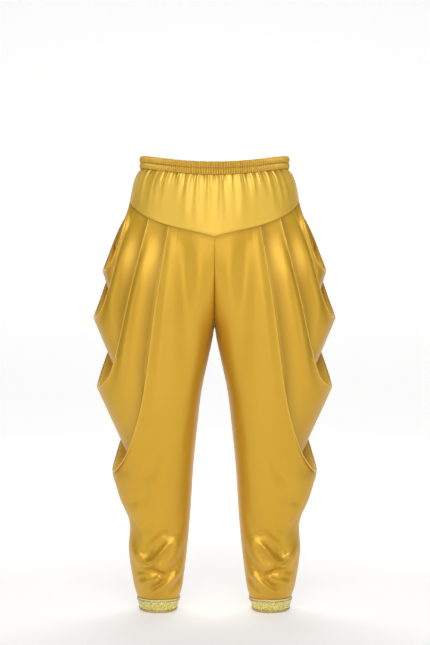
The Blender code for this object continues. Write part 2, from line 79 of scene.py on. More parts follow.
def gridFaces(rows, columns, closed=False):
    index = np.arange(rows * columns).reshape(rows, columns)
    right = np.roll(index, -1, axis=1) if closed else index[:, 1:]
    left = index if closed else index[:, :-1]
    return np.stack([left[:-1], right[:-1], right[1:], left[1:]], axis=-1).reshape(-1, 4)


def ringFaces(rows, columns):  # the last row joins the first, which closes the ring all round
    return gridFaces(rows + 1, columns, closed=True) % (rows * columns)


def ringOutward(ring):
    step = np.roll(ring, -1, axis=0) - np.roll(ring, 1, axis=0)
    outward = unit(np.stack([step[:, 1], -step[:, 0], np.zeros(len(ring))], axis=-1))
    return -outward if (outward * (ring - ring.mean(axis=0))).sum() < 0 else outward


def newPiece(name, points, faces, cloth=None, **marks):
    mesh = bpy.data.meshes.new(name)
    mesh.from_pydata(np.asarray(points, float).tolist(), [], [tuple(map(int, face)) for face in faces])
    if cloth is not None:  # where each point lies on the flat cloth, in metres
        layer = mesh.uv_layers.new(name="cloth")
        corners = np.empty(len(mesh.loops), dtype=np.int32)
        mesh.loops.foreach_get("vertex_index", corners)
        layer.data.foreach_set("uv", np.asarray(cloth, np.float32)[corners].ravel())
    for mark, amounts in marks.items():  # how much each point is painted paler (reverse side and painted light) or darker (painted shade), from 0 to 1
        layer = mesh.attributes.new(mark, "FLOAT", "POINT")
        layer.data.foreach_set("value", np.asarray(amounts, np.float32).ravel())
    mesh.validate()
    mesh.shade_smooth()
    piece = bpy.data.objects.new(name, mesh)
    bpy.context.scene.collection.objects.link(piece)
    return piece


def thicken(piece, wall, sharp=55):
    modifier = piece.modifiers.new("wall", "SOLIDIFY")
    modifier.thickness = wall
    modifier.offset = -1.0
    bpy.ops.object.select_all(action="DESELECT")
    piece.select_set(True)
    bpy.context.view_layer.objects.active = piece
    bpy.ops.object.modifier_apply(modifier="wall")
    piece.data.set_sharp_from_angle(angle=np.radians(sharp))


def faceAway(piece, centre):  # turns the faces out where the first one looks at the centre
    face = piece.data.polygons[0]
    corner = piece.data.vertices[face.vertices[0]].co
    if face.normal.dot(corner - Vector(centre)) < 0:
        piece.data.flip_normals()


def dress(piece, material, node=None):
    piece.data.materials.clear()
    piece.data.materials.append(material)
    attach(piece, "root")
    if node:
        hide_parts(node)


def addNode(tree, kind, **settings):
    node = tree.nodes.new(kind)
    for name, value in settings.items():
        if hasattr(node, name):
            setattr(node, name, value)
        else:
            node.inputs[name.replace("_", " ")].default_value = value
    return node


def clothMaterial(name, light, dark, roughness, metallic, sheen, thread=0.00045, grain=0.40, weave=0.14):
    material = bpy.data.materials.new(name)
    material.use_nodes = True
    tree = material.node_tree
    link = tree.links.new
    shader = tree.nodes["Principled BSDF"]
    shader.inputs["Sheen Weight"].default_value = sheen
    shader.inputs["Sheen Roughness"].default_value = 0.35
    shader.inputs["Sheen Tint"].default_value = (1.0, 0.86, 0.45, 1.0)
    shader.inputs["Anisotropic"].default_value = 0.25
    place = addNode(tree, "ShaderNodeTexCoord")
    cloth = addNode(tree, "ShaderNodeUVMap", uv_map="cloth")
    # Cloudy tone, and slubs drawn out along the warp
    clouds = addNode(tree, "ShaderNodeTexNoise", Scale=7.0, Detail=3.0, Roughness=0.5)
    link(place.outputs["Object"], clouds.inputs["Vector"])
    warp = addNode(tree, "ShaderNodeMapping")
    warp.inputs["Scale"].default_value = (620.0, 240.0, 1.0)
    link(cloth.outputs["UV"], warp.inputs["Vector"])
    slubs = addNode(tree, "ShaderNodeTexNoise", Scale=1.0, Detail=4.0, Roughness=0.6)
    link(warp.outputs["Vector"], slubs.inputs["Vector"])
    tone = addNode(tree, "ShaderNodeMix", data_type="FLOAT")
    tone.inputs["Factor"].default_value = grain
    link(clouds.outputs["Fac"], tone.inputs["A"])
    link(slubs.outputs["Fac"], tone.inputs["B"])
    colour = addNode(tree, "ShaderNodeMix", data_type="RGBA")
    colour.inputs["A"].default_value = (*dark, 1.0)
    colour.inputs["B"].default_value = (*light, 1.0)
    link(tone.outputs["Result"], colour.inputs["Factor"])
    # Within the folds the reverse side is duller and paler; the paler colour is also painted light in the
    # pockets and on the open strips, and a painted highlight on the pleats' pressed edges
    inside = addNode(tree, "ShaderNodeAttribute", attribute_name="inside")
    palerMix = addNode(tree, "ShaderNodeMix", data_type="RGBA")
    palerMix.inputs["B"].default_value = (0.98, 0.70, 0.14, 1.0)
    link(inside.outputs["Fac"], palerMix.inputs["Factor"])
    link(colour.outputs["Result"], palerMix.inputs["A"])
    # Painted shade: the fold lines, rib grooves, notches, seams and the cloth under the pleats are darkened
    # in colour
    crease = addNode(tree, "ShaderNodeAttribute", attribute_name="crease")
    deep = addNode(tree, "ShaderNodeMix", data_type="RGBA")
    deep.inputs["B"].default_value = (0.25, 0.115, 0.006, 1.0)
    link(crease.outputs["Fac"], deep.inputs["Factor"])
    link(palerMix.outputs["Result"], deep.inputs["A"])
    link(deep.outputs["Result"], shader.inputs["Base Color"])
    shine = addNode(tree, "ShaderNodeMapRange")
    shine.inputs["To Min"].default_value = metallic
    shine.inputs["To Max"].default_value = 0.0
    link(inside.outputs["Fac"], shine.inputs["Value"])
    link(shine.outputs["Result"], shader.inputs["Metallic"])
    gloss = addNode(tree, "ShaderNodeMapRange")
    gloss.inputs["To Min"].default_value = roughness - 0.05
    gloss.inputs["To Max"].default_value = roughness + 0.05
    link(slubs.outputs["Fac"], gloss.inputs["Value"])
    link(gloss.outputs["Result"], shader.inputs["Roughness"])
    # The weave: long satin floats across fine warp threads
    threads = []
    for direction, size in (("X", 1.0), ("Y", 0.25)):
        wave = addNode(tree, "ShaderNodeTexWave", bands_direction=direction, Scale=size / thread / 3.1416 / 2)
        wave.inputs["Distortion"].default_value = 0.6
        link(cloth.outputs["UV"], wave.inputs["Vector"])
        threads.append(wave)
    floats = addNode(tree, "ShaderNodeMath", operation="MULTIPLY")
    link(threads[0].outputs["Fac"], floats.inputs[0])
    link(threads[1].outputs["Fac"], floats.inputs[1])
    bump = addNode(tree, "ShaderNodeBump")
    bump.inputs["Strength"].default_value = weave
    bump.inputs["Distance"].default_value = 0.00008
    link(floats.outputs["Value"], bump.inputs["Height"])
    link(bump.outputs["Normal"], shader.inputs["Normal"])
    return material


satin = clothMaterial("gold_satin", (.73, .430, .032), (.58, .315, .016), 0.40, 0.38, 0.12)
# The yoke's satin is the same satin painted lighter: painted light, as the yoke faces up towards the lamps
gathered = clothMaterial("yoke_satin_painted_lighter", (.86, .560, .072), (.73, .445, .044), 0.42, 0.28, 0.12)
shirring = clothMaterial("shirred_satin", (.78, .490, .055), (.62, .360, .030), 0.44, 0.25, 0.12)


def brocadeMaterial(name):
    material = bpy.data.materials.new(name)
    material.use_nodes = True
    tree = material.node_tree
    link = tree.links.new
    shader = tree.nodes["Principled BSDF"]
    shader.inputs["Metallic"].default_value = 0.25
    shader.inputs["Sheen Weight"].default_value = 0.3
    place = addNode(tree, "ShaderNodeTexCoord")
    glitter = addNode(tree, "ShaderNodeTexVoronoi", Scale=760.0)
    link(place.outputs["Object"], glitter.inputs["Vector"])
    spark = addNode(tree, "ShaderNodeSeparateColor")
    link(glitter.outputs["Color"], spark.inputs["Color"])
    ramp = addNode(tree, "ShaderNodeValToRGB")
    ramp.color_ramp.elements[0].color = (.40, .34, .05, 1.0)
    ramp.color_ramp.elements[1].color = (1.0, .92, .42, 1.0)
    middle = ramp.color_ramp.elements.new(0.55)
    middle.color = (.74, .64, .15, 1.0)
    link(spark.outputs["Red"], ramp.inputs["Fac"])
    link(ramp.outputs["Color"], shader.inputs["Base Color"])
    gloss = addNode(tree, "ShaderNodeMapRange")
    gloss.inputs["To Min"].default_value = 0.25
    gloss.inputs["To Max"].default_value = 0.65
    link(spark.outputs["Green"], gloss.inputs["Value"])
    link(gloss.outputs["Result"], shader.inputs["Roughness"])
    bump = addNode(tree, "ShaderNodeBump")
    bump.inputs["Strength"].default_value = 0.5
    bump.inputs["Distance"].default_value = 0.0002
    link(spark.outputs["Blue"], bump.inputs["Height"])
    link(bump.outputs["Normal"], shader.inputs["Normal"])
    return material


def threadMaterial(name, colour):
    material = bpy.data.materials.new(name)
    material.use_nodes = True
    tree = material.node_tree
    link = tree.links.new
    shader = tree.nodes["Principled BSDF"]
    shader.inputs["Roughness"].default_value = 0.5
    shader.inputs["Sheen Weight"].default_value = 0.3
    place = addNode(tree, "ShaderNodeTexCoord")
    twist = addNode(tree, "ShaderNodeTexWave", bands_direction="DIAGONAL", Scale=900.0)
    link(place.outputs["Object"], twist.inputs["Vector"])
    # Painted shade: the thread is darker in the twist's grooves, where its bump is low
    tone = addNode(tree, "ShaderNodeMix", data_type="RGBA")
    tone.inputs["A"].default_value = (*[0.6 * part for part in colour], 1.0)
    tone.inputs["B"].default_value = (*colour, 1.0)
    link(twist.outputs["Fac"], tone.inputs["Factor"])
    link(tone.outputs["Result"], shader.inputs["Base Color"])
    bump = addNode(tree, "ShaderNodeBump")
    bump.inputs["Strength"].default_value = 0.4
    bump.inputs["Distance"].default_value = 0.0001
    link(twist.outputs["Fac"], bump.inputs["Height"])
    link(bump.outputs["Normal"], shader.inputs["Normal"])
    return material


brocade = brocadeMaterial("glitter_brocade")
goldThread = threadMaterial("gold_thread", (0.70, 0.46, 0.08))
brownThread = threadMaterial("brown_thread", (0.26, 0.15, 0.06))
paleThread = threadMaterial("pale_thread", (0.95, 0.86, 0.55))
print("materials mixed")


def makeStitches(name, ring, stitch, material):
    # A row of machine stitches round a closed ring of places: each dips into the cloth at both its ends
    ring = np.vstack([ring, ring[:1]])
    lengths = arcLength(ring)
    count = int(lengths[-1] / stitch["pitch"])
    share = np.linspace(0.0, 1.0, 6)
    way = (np.arange(count)[:, None] + 0.10 + 0.80 * share) * lengths[-1] / count
    centre = np.stack([np.interp(way, lengths, ring[:, axis]) for axis in range(3)], axis=-1)
    tangent = unit(np.gradient(centre, axis=1))
    outward = unit(centre * [1.0, 1.0, 0.0] - ring.mean(axis=0) * [1.0, 1.0, 0.0])
    outward = unit(outward - tangent * (outward * tangent).sum(axis=-1, keepdims=True))
    across = np.cross(tangent, outward)
    arch = np.sin(np.pi * share)[None, :, None]
    centre = centre + outward * (stitch["lift"] + stitch["thread"] * (arch - 0.9))
    radius = stitch["thread"] / 2 * (0.5 + 0.5 * arch)
    turns = np.linspace(0.0, 2 * np.pi, 7)[:-1]
    rounds = [centre + radius * (np.cos(a) * outward + np.sin(a) * across) for a in turns]
    points = np.stack(rounds, axis=2)
    faces = []
    for rows in np.arange(points.size // 3).reshape(points.shape[:3]):
        for near, far in zip(rows, rows[1:]):
            faces.extend(zip(near, np.roll(near, -1), np.roll(far, -1), far))
        faces.append(tuple(rows[0][::-1]))
        faces.append(tuple(rows[-1]))
    piece = newPiece(name, points.reshape(-1, 3), faces)
    faceAway(piece, points[0].mean(axis=(0, 1)))
    dress(piece, material)


waist = {
    "halfWidth": 0.1535, "halfDepth": 0.1125,
    "height": 0.027,             # of the band
    "wall": 0.0030,              # two layers with the elastic between them
    "swell": 0.0028,             # of each of the two channels
    "ribs": 192, "ribDepth": 0.0014,
    "sideLevel": 0.0005, "frontLevel": -0.0215, "backLevel": 0.0020,
    "columnsPerRib": 6, "rows": 33, "innerRows": 9,
    # innerTone and grooveTone are painted shade, on the band's inner face and in the grooves between the ribs
    "innerRipple": 0.0004, "innerTone": 0.2, "grooveTone": 0.60,
    "stitchRows": {"middle": 0.0, "lower": -0.47, "upper": 0.47},    # as shares of the height
    "stitch": {"pitch": 0.0028, "thread": 0.00055, "lift": 0.0011},
}


def bandLevel(angle):
    end = np.where(np.cos(angle) > 0, waist["frontLevel"], waist["backLevel"])
    return mix(waist["sideLevel"], end, np.cos(angle) ** 2)


def waistPoint(angle, outward, height):
    across = np.sin(angle) * (waist["halfWidth"] + outward)
    depth = -np.cos(angle) * (waist["halfDepth"] + outward)
    return np.stack([across, depth, bandLevel(angle) + height], axis=-1)


def makeWaistband():
    columns = waist["ribs"] * waist["columnsPerRib"]
    random = np.random.default_rng(3)
    angle = np.arange(columns) * 2 * np.pi / columns
    # Ribs of uneven width: the phase runs ahead and behind by a slow random walk
    phase = angle * waist["ribs"]
    for turns in range(3, 60, 4):
        sway = random.uniform(-0.35, 0.35) / (1 + turns / 16)
        phase += sway * np.sin(turns * angle + random.uniform(0, 6.3))
    strength = np.ones(columns)
    for turns in range(9, 150, 11):
        strength += random.uniform(0.02, 0.06) * np.sin(turns * angle + random.uniform(0, 6.3))
    half = waist["height"] / 2
    rows, creases = [], []
    for share in np.linspace(-1.0, 1.0, waist["rows"]):  # from the lower edge to the upper
        channel = 0.04 + 0.96 * abs(np.sin(np.pi * np.clip(share, -1, 1))) ** 0.55
        if abs(share) < 0.06 or abs(share) > 0.98:
            channel *= 0.3
        rib = np.cos(phase + 0.3 * np.sin(3 * share)) * strength
        pull = 0.45 + 0.55 * channel
        outward = waist["swell"] * channel + waist["ribDepth"] * rib * pull
        rows.append(waistPoint(angle, outward, half * share))
        # Painted shade in the rib grooves, along the middle between the two channels and at the lower edge
        between = 0.55 * np.exp(-((share / 0.05) ** 2)) + 0.5 * np.exp(-(((1 + share) / 0.06) ** 2))
        creases.append(np.clip(waist["grooveTone"] * (0.5 - 0.5 * rib) ** 2 + between, 0.0, 1.0))
    outer = len(rows)
    for share in np.linspace(1.0, -1.0, waist["innerRows"]):
        inset = -waist["wall"] + waist["innerRipple"] * np.cos(phase * 0.5)
        rows.append(waistPoint(angle, inset * np.ones(columns), half * share))
        # Painted shade on the band's inner face
        creases.append(np.full(columns, waist["innerTone"]))
    points = np.array(rows)
    around = np.broadcast_to(angle * 0.134, points.shape[:2])
    up = np.concatenate([np.linspace(0, 2 * half, outer),
                         np.linspace(2 * half, 4 * half, waist["innerRows"])])
    cloth = np.stack([around * 1.6, np.broadcast_to(up[:, None], points.shape[:2])], axis=-1)
    faces = ringFaces(len(rows), columns)
    piece = newPiece("waistband_satin", points.reshape(-1, 3), faces, cloth.reshape(-1, 2), crease=creases)
    dress(piece, shirring, "waistband")


makeWaistband()
around = np.linspace(0.0, 2 * np.pi, 721)[:-1]
for label, level in waist["stitchRows"].items():
    sewn = waistPoint(around, np.full(len(around), 0.25 * waist["swell"]), level * waist["height"])
    makeStitches(f"waistband_stitches_{label}", sewn, waist["stitch"], goldThread)
print("waistband made")


hip = {
    "halfWidth": 0.1780, "halfDepth": 0.1210, "squareness": 0.88,
    "pointLevel": -0.1612, "sideLevel": -0.0780, "sag": 0.0090,
    # Long soft folds below the band, and short gathers right under it
    "folds": 24, "foldDepth": 0.0046, "foldWidth": (0.014, 0.026), "foldLength": (0.45, 1.05),
    "notches": 66, "notchDepth": 0.0024, "notchWidth": (0.006, 0.010), "notchLength": (0.10, 0.26),
    # Painted shade in the notches between the gathers and along the seam at the yoke's lower edge
    "notchTone": 0.75, "seamTone": 0.45,
    "columns": 560, "rows": 60, "wall": 0.0010,
}


def seamPoint(turn, side, inset=0.0):
    turn = np.asarray(turn, float)
    angle = turn * np.pi / 2
    flat = np.stack([np.sin(angle) * hip["halfWidth"],
                     side * np.maximum(np.cos(angle), 0.0) ** hip["squareness"] * hip["halfDepth"]], axis=-1)
    outward = unit(flat / np.array([hip["halfWidth"], hip["halfDepth"]]) ** 2)
    flat = flat - outward * np.asarray(inset, float)[..., None]
    sag = hip["sag"] * np.sin(angle * 2) ** 2 * (1 - 0.8 * turn)
    height = mix(hip["pointLevel"], hip["sideLevel"], turn) - sag
    return np.concatenate([flat, height[..., None]], axis=-1)


def seamTurn(x):
    return np.arcsin(x / hip["halfWidth"]) / (np.pi / 2)


def makeYoke(name, node, side, seed):
    random = np.random.default_rng(seed)
    columns = hip["columns"]
    turn = np.linspace(-1.0, 1.0, columns + 1)
    low = seamPoint(np.abs(turn), side)
    low[:, 0] *= np.sign(turn)
    angle = turn * np.pi / 2 if side < 0 else np.pi - turn * np.pi / 2
    bandEdge = np.full(columns + 1, -waist["height"] / 2 - gap["seam"])
    high = waistPoint(angle, np.zeros(columns + 1), bandEdge)
    outward = unit(low * np.array([1.0, 1.0, 0.0]))
    # Each gather is a ridge with its own place, width, height and length
    gathers = []
    for count, depth, wide, long in (
            (hip["folds"], hip["foldDepth"], hip["foldWidth"], hip["foldLength"]),
            (hip["notches"], hip["notchDepth"], hip["notchWidth"], hip["notchLength"])):
        places = np.linspace(-0.985, 0.985, count) + random.uniform(-0.4, 0.4, count) / count
        heights = random.uniform(0.4, 1.0, count) * (0.5 + 0.5 * np.cos(places * np.pi / 2)) * depth
        gathers.append((places, random.uniform(*wide, count), heights, random.uniform(*long, count)))
    shares = np.linspace(0.0, 1.0, hip["rows"]) ** 1.2
    rows, creases = [], []
    for share in shares:
        spread = 0.5 * (1 - np.exp(-share / 0.17)) + 0.5 * share
        row = mix(high, low, share)
        row[:, :2] = mix(high[:, :2], low[:, :2], spread)
        lift = -0.0016 * np.exp(-share / 0.2) - 0.0012 * np.exp(-(((1 - share) / 0.03) ** 2))
        raised = np.zeros(columns + 1)
        for places, widths, heights, lengths in gathers:
            height = heights * np.exp(-((share / lengths) ** 1.7)) * (1 - ease(0.6, 0.97, share))
            lean = places * (1 + 0.06 * share)
            width = widths * (1 + 1.4 * share)
            raised += (height * np.exp(-(((turn[:, None] - lean) / width) ** 2))).sum(axis=1)
        rows.append(row + outward * (lift + raised)[:, None])
        # Painted shade in the notches right under the band and along the lower seam
        notch = np.clip(1 - raised / hip["notchDepth"], 0.0, 1.0) * np.exp(-((share / 0.09) ** 2))
        seam = hip["seamTone"] * np.exp(-(((1 - share) / 0.008) ** 2))
        creases.append(np.clip(hip["notchTone"] * notch + seam, 0.0, 1.0))
    points = np.array(rows)
    points[:, [0, -1], 1] = side * gap["seam"] / 2
    across = np.broadcast_to(turn * 0.24, points.shape[:2])
    down = np.broadcast_to(-0.13 * shares[:, None], points.shape[:2])
    faces = gridFaces(hip["rows"], columns + 1)
    if side < 0:
        faces = faces[:, ::-1]
    cloth = np.stack([across, down], axis=-1).reshape(-1, 2)
    piece = newPiece(name, points.reshape(-1, 3), faces, cloth, crease=creases)
    thicken(piece, hip["wall"])
    dress(piece, gathered, node)


makeYoke("yoke_front_satin", "yoke_front", -1, 11)
makeYoke("yoke_back_satin", "yoke_back", 1, 12)
print("yokes gathered")


# Each leg, by its height: the x of its inner and outer edge, how far it reaches in front and behind, and the
# x of its fullest point.
legTable = {
    "level": (
        -.0780, -.1500, -.2240, -.3220, -.3450, -.4100, -.4680, -.5600,
        -.6410, -.7000, -.7490, -.8110, -.8600, -.8960, -.9075, -.9355),
    "inner": (
        .0000, .0000, .0000, .0000, .0010, .0130, .0255, .0370,
        .0450, .0485, .0520, .0580, .0640, .0700, .0740, .0820),
    "outer": (
        .1780, .2140, .2390, .2570, .2575, .2560, .2500, .2340,
        .2160, .2000, .1795, .1800, .1735, .1655, .1610, .1545),
    "front": (
        .1210, .1210, .1180, .1120, .1100, .1030, .0970, .0880,
        .0800, .0740, .0690, .0670, .0630, .0540, .0460, .0425),
    "back": (
        .1210, .1270, .1280, .1200, .1170, .1100, .1040, .0950,
        .0870, .0800, .0740, .0700, .0650, .0560, .0460, .0425),
    "middle": (
        .0080, .0120, .0400, .0850, .0880, .0940, .1000, .1080,
        .1150, .1150, .1150, .1170, .1180, .1180, .1180, .1180),
}

# The four cowls of a leg, from the lowest to the highest. A rim runs from its front pleat on the yoke seam
# down to its tip at the side and up to its back pleat; its places are (x, z).
cowls = (
    {"pleat": .0940, "front": ((.1202, -.2923), (.1490, -.4957), (.1779, -.5941), (.2035, -.6359)),
     "tip": (.2160, -.6410), "back": ((.2080, -.6040), (.1560, -.4300)), "backPleat": .1050,
     "mouth": .048, "depth": .055},
    {"pleat": .1354, "front": ((.1732, -.2711), (.2024, -.3955), (.2183, -.4439), (.2320, -.4600)),
     "tip": (.2480, -.4680), "back": ((.2430, -.4380), (.2080, -.3300)), "backPleat": .1440,
     "mouth": .054, "depth": .050},
    {"pleat": .1644, "front": ((.1938, -.1758), (.2135, -.2450), (.2262, -.2865), (.2400, -.3155)),
     "tip": (.2550, -.3217), "back": ((.2440, -.2825), (.2170, -.2050)), "backPleat": .1665,
     "mouth": .052, "depth": .045},
    {"pleat": .1745, "front": ((.1867, -.1280), (.1972, -.1640), (.2102, -.2020), (.2220, -.2190)),
     "tip": (.2358, -.2237), "back": ((.2253, -.1900), (.2020, -.1330)), "backPleat": .1755,
     "mouth": .036, "depth": .040},
)

leg = {
    "pleatDepth": 0.014,
    "faceToReturn": (0.0045, 0.0075), "returnToUnder": (0.0022, 0.0035),
    "stripCrown": 0.165, "panelLean": (0.10, 0.24), "pocketLean": 0.85, "pocketRoom": 0.35,
    "sideStart": 0.020,
    "crotchLevel": -0.3450, "crotchCurve": 2.1, "tipRowDrop": 0.030,
    "seamReach": 0.040,          # over which the cloth turns from the seam's curve to its own
    "crownReach": 0.170,         # over which the strips between the pleats grow full
    "rowsToCrotch": 26, "rowsToTip": 50, "ringsToCuff": 114, "panelColumns": 74,
    "stripColumns": 8, "wallColumns": 5, "turnColumns": 4, "rollColumns": 7,
    "cuffTop": -0.9080, "hem": -0.9355, "wall": 0.0009,
    "beadDepth": 0.0009,         # by which the pressed edge of each pleat stands out
    "paintedRimHighlight": 0.6, "openStripLight": 0.2,    # the painted highlight on each pleat's rolled edge, and how much paler the open cowl's strip is painted (painted light)
    # How much painted shade darkens the yoke seam, the centre seam, the inseam and the folds, the strips
    # beside the pleats, the rolls and the cloth hidden in the pockets
    "seamTone": 0.35, "centreTone": 0.4, "inseamTone": 0.3, "foldTone": 0.22,
    "stripTone": 0.55, "openTone": 0.08, "rollTone": 0.75, "hiddenTone": 0.04,
}

legLevels = np.array(legTable["level"])[::-1]


def legSize(column, z):
    values = np.array(legTable[column])[::-1]
    slopes = np.gradient(values, legLevels)
    z = np.clip(np.asarray(z, float), legLevels[0], legLevels[-1])
    row = np.clip(np.searchsorted(legLevels, z) - 1, 0, len(legLevels) - 2)
    step = legLevels[row + 1] - legLevels[row]
    s = (z - legLevels[row]) / step
    return (values[row] * (2 * s**3 - 3 * s**2 + 1) + slopes[row] * step * (s**3 - 2 * s**2 + s)
            + values[row + 1] * (3 * s**2 - 2 * s**3) + slopes[row + 1] * step * (s**3 - s**2))


def legDepth(x, z, innerX, innerY, side):
    fullest = side * legSize("front" if side < 0 else "back", z)
    middle = np.maximum(legSize("middle", z), innerX + 0.004)
    out = np.clip((x - middle) / (legSize("outer", z) - middle), 0.0, 1.0)
    into = np.clip((middle - x) / (middle - innerX), 0.0, 1.0)
    inwards = innerY + (fullest - innerY) * (1 - into**2.7) ** (1 / 2.4)
    return np.where(x > middle, fullest * np.sqrt(1 - out**2), inwards)


def legOutward(points):
    def fullness(x, y, z):
        middle = legSize("middle", z)
        deep = np.where(y < 0, legSize("front", z), legSize("back", z))
        return ((x - middle) / (legSize("outer", z) - middle)) ** 2 + (y / deep) ** 2
    slopes = [fullness(*(points + step).T) - fullness(*(points - step).T) for step in np.eye(3) * 0.0005]
    return unit(np.stack(slopes, axis=-1))


def innerEdge(z, side):
    if z <= leg["crotchLevel"]:
        return max(float(legSize("inner", z)), gap["centre"]), 0.0
    fall = (hip["pointLevel"] - z) / (hip["pointLevel"] - leg["crotchLevel"])
    fullest = side * float(legSize("front" if side < 0 else "back", z))
    return gap["centre"], fullest * np.sqrt(max(0.0, 1 - max(fall, 0.0) ** leg["crotchCurve"]))


# Folds on a leg's front and back: the (x, z) places that a fold runs through, how far it lifts the cloth and
# how wide it spreads. A lap lifts only the side on the right of its run, as where one layer lies on another,
# and its last number is how far its lift reaches.
ridges = (
    (((.1630, -.8001), (.1531, -.8162), (.1394, -.8257), (.1257, -.8192), (.1107, -.8038), (.0933, -.7826)),
     .0068, .0050),
    (((.1700, -.7864), (.1668, -.8113), (.1580, -.8274), (.1443, -.8342), (.1306, -.8299), (.1157, -.8162),
      (.0995, -.7976), (.0858, -.7801)), .0085, .0066),
    (((.1605, -.8113), (.1493, -.8237), (.1381, -.8299), (.1257, -.8257), (.1107, -.8113), (.0933, -.7913)),
     -.0026, .0020),
    (((.1394, -.8175), (.1306, -.7951), (.1107, -.7752), (.0883, -.7627)), -.0062, .0085),
    (((.1556, -.6618), (.1356, -.6469), (.1157, -.6220)), -.0046, .0100),
    (((.1767, -.7054), (.1531, -.6942), (.1331, -.6830)), -.0044, .0110),
    (((.1520, -.7480), (.1400, -.7560), (.1260, -.7580)), -.0030, .0130),
    (((.0734, -.7689), (.0833, -.8088), (.1033, -.8337), (.1219, -.8411)), .0100, .0115),
    (((.1294, -.8387), (.1157, -.8461), (.1057, -.8511), (.0995, -.8586)), -.0034, .0036),
    (((.0995, -.8581), (.1107, -.8698), (.1232, -.8785), (.1356, -.8897)), -.0034, .0046),
    (((.0995, -.8573), (.0833, -.8387), (.0709, -.8187), (.0634, -.7888)), -.0040, .0060),
    (((.1668, -.8524), (.1481, -.8461), (.1282, -.8474), (.1082, -.8548)), -.0046, .0060),
    (((.1605, -.8785), (.1406, -.8685), (.1232, -.8660), (.1095, -.8598)), .0075, .0070),
    (((.1306, -.8959), (.1057, -.8785), (.0858, -.8636), (.0734, -.8461)), .0068, .0062),
    (((.0958, -.8959), (.0808, -.8785), (.0684, -.8561)), -.0040, .0045),
    (((.0660, -.0700), (.0620, -.2300), (.0580, -.3000), (.0600, -.4600)), -.0060, .0170),
    (((.0850, -.0700), (.1020, -.2800), (.1140, -.3900), (.1260, -.5400)), .0026, .0130),
    (((.0290, -.0900), (.0320, -.3000), (.0450, -.5000)), .0024, .0150),
    (((.0380, -.5223), (.0561, -.5925), (.0659, -.7141), (.0808, -.7615)), -.0030, .0110),
)
laps = (
    (((.1880, -.7060), (.1742, -.7291), (.1605, -.7515), (.1500, -.7700), (.1452, -.7900)),
     .0050, .0018, .026),
)


def foldHeight(x, z):
    # How far the folds lift the cloth at each place, and how deep the place is in a fold line, which sets its
    # painted shade
    lift, depth = np.zeros(np.shape(x)), np.zeros(np.shape(x))
    place = np.stack([x, z], axis=-1)
    for table in (ridges, laps):
        for run, height, width, *reach in table:
            line = smoothCurve([(*spot, 0.0) for spot in run], steps=12)[:, :2]
            away = place[:, None, :] - line
            apart = np.linalg.norm(away, axis=-1)
            nearest = apart.argmin(axis=-1)
            apart = apart.min(axis=-1)
            if (apart > 4 * max([width] + reach)).all():
                continue
            ends = nearest / (len(line) - 1)
            beyond = 0.0 if reach else 0.04
            fade = ease(0.0, 0.25, ends + beyond) * ease(0.0, 0.25, 1 + beyond - ends)
            if not reach:
                share = fade * np.exp(-((apart / width) ** 2))
                lift += height * share
                depth += share if height < 0 and width < 0.006 else 0.0
                continue
            slope = np.gradient(line, axis=0)[nearest]
            offset = np.take_along_axis(away, nearest[:, None, None].repeat(2, axis=2), axis=1)[:, 0]
            signed = np.sign(slope[:, 1] * offset[:, 0] - slope[:, 0] * offset[:, 1]) * apart
            lift += height * fade * (0.5 + 0.5 * np.tanh(signed / width)) * np.exp(-((apart / reach[0]) ** 2))
            depth += 0.35 * fade * np.exp(-(((signed + width) / (2 * width)) ** 2))
    return lift, np.clip(depth, 0.0, 1.0)


def halfSection(outer, level, side):
    innerX, innerY = innerEdge(level, side)
    share = 1 - np.cos(np.linspace(0.0, np.pi / 2, 160))
    x, z = mix(innerX, outer[0], share), mix(level, outer[2], share)
    y = legDepth(x, z, innerX, innerY, side)
    y = y + (outer[1] - y[-1]) * share**6
    y[0] = innerY
    points = along(np.stack([x, y, z], axis=-1), np.linspace(0.0, 1.0, leg["panelColumns"] + 1))
    lift = foldHeight(points[:, 0], points[:, 2])[0] * (1.0 if side < 0 else 0.6)
    lift *= ease(0.0, 0.012, arcLength(points)) * (1 - ease(0.9, 1.0, np.linspace(0, 1, len(points))))
    points[:, 1] += side * lift
    return points


def rimArms(cowl):
    points = [seamPoint(seamTurn(cowl["pleat"]), -1)]
    points += [(x, float(legDepth(x, z, 0.0, 0.0, -1)), z) for x, z in cowl["front"]]
    points += [(cowl["tip"][0], 0.0, cowl["tip"][1])]
    points += [(x, float(legDepth(x, z, 0.0, 0.0, 1)), z) for x, z in cowl["back"]]
    points += [seamPoint(seamTurn(cowl["backPleat"]), 1)]
    dense = smoothCurve(points)
    tip = 5 * 24
    return dense[:tip + 1], dense[tip:][::-1]


def rowsDown(arms):
    fine = np.linspace(0.0, 1.0, 400)
    shift = hip["pointLevel"] - gap["legTop"] - along(arms[0], [0.0])[0, 2]
    levels = [along(arm, fine)[:, 2] + shift * (1 - fine) - leg["tipRowDrop"] * fine**2 for arm in arms]
    crotch = [float(np.interp(-leg["crotchLevel"], -level, fine)) for level in levels]
    upper = crotch[0] * (1 - np.linspace(1.0, 0.0, leg["rowsToCrotch"], endpoint=False) ** 1.5)
    upperInner = np.interp(upper, fine, levels[0])
    upperBack = np.interp(-upperInner, -levels[1], fine)
    upperBack[0] = 0.0
    fall = 1 - np.linspace(1.0, 0.0, leg["rowsToTip"] + 1) ** 1.3
    front = np.concatenate([upper, mix(crotch[0], 1.0, fall)])
    back = np.concatenate([upperBack, mix(crotch[1], 1.0, fall)])
    inner = np.concatenate([upperInner, mix(leg["crotchLevel"], levels[0][-1], fall)])
    return front, back, inner


